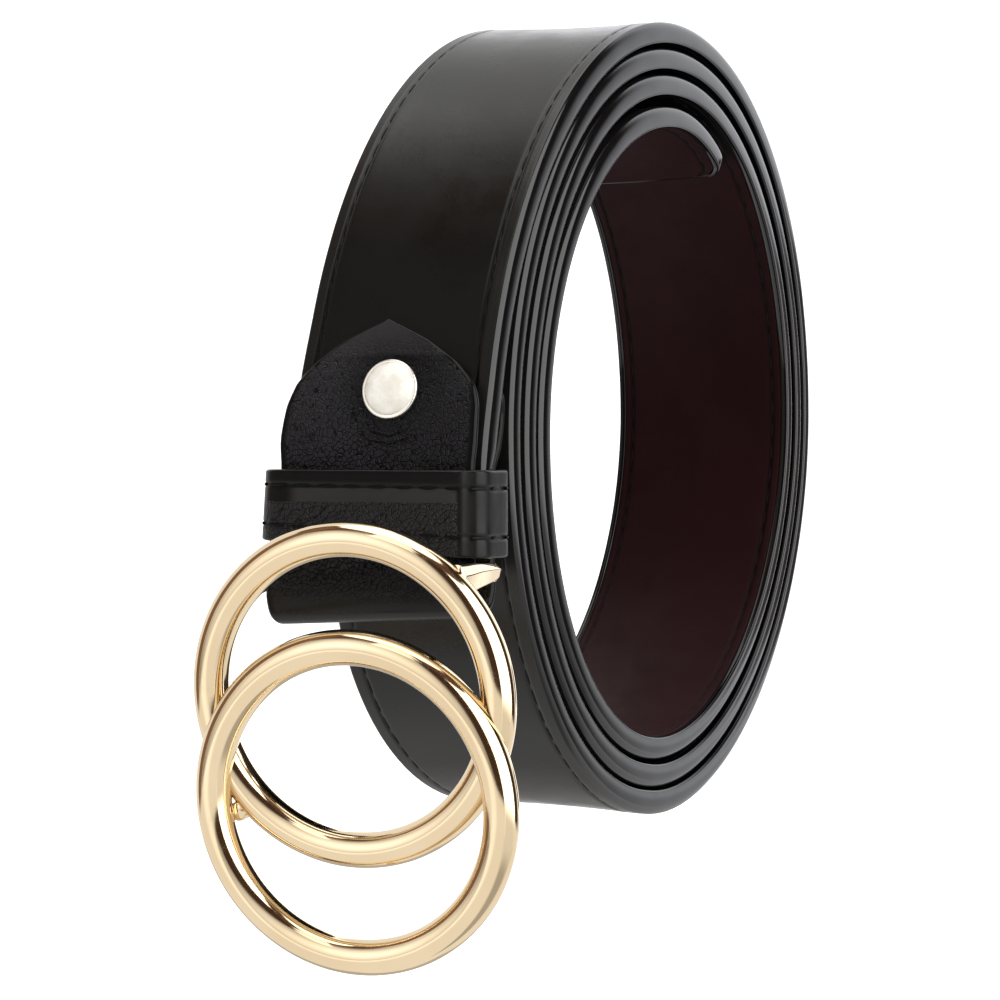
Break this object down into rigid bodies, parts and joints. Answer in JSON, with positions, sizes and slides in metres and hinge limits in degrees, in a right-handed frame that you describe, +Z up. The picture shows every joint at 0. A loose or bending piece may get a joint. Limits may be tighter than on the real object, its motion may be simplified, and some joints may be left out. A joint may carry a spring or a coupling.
{
  "type": "skinny belt",
  "caption": "Narrow leather belt rolled up like an upright wheel, with an overlapping ring buckle hanging in front from a folded tab with keeper and snap.",
  "frame": {"origin": "the spot where a peg carries the roll: inside the eye, at the top of the innermost turn, mid width", "axes": "+Z up, X across the strap's width, -Y the front where the buckle hangs"},
  "size_m": [0.0461, 0.1288, 0.1295],
  "materials": {
    "strap_face": "smooth black leather with a satin sheen",
    "strap_lining": "matte dark burgundy brown lining leather",
    "buckle_tab": "pebble grained black leather",
    "keeper": "grained black leather with a smooth band",
    "snap_cap": "pearl white with a thin polished rim",
    "snap_back": "plain pressed steel",
    "buckle_rings": "polished light gold plating"
  },
  "bodies": {
    "belt": {"strap_face": "strap_face", "strap_lining": "strap_lining", "buckle_tab": "buckle_tab", "keeper": "keeper", "snap_cap": "snap_cap", "snap_back": "snap_back"},
    "buckle": {"buckle_rings": "buckle_rings"}
  },
  "joints": [
    {"name": "buckle_swing", "type": "hinge", "parent": "belt", "child": "buckle", "pos_m": [0, -0.0562, -0.06274], "axis": [0.9951, 0.0844, 0.0523], "range_deg": [-3, 50]}
  ]
}
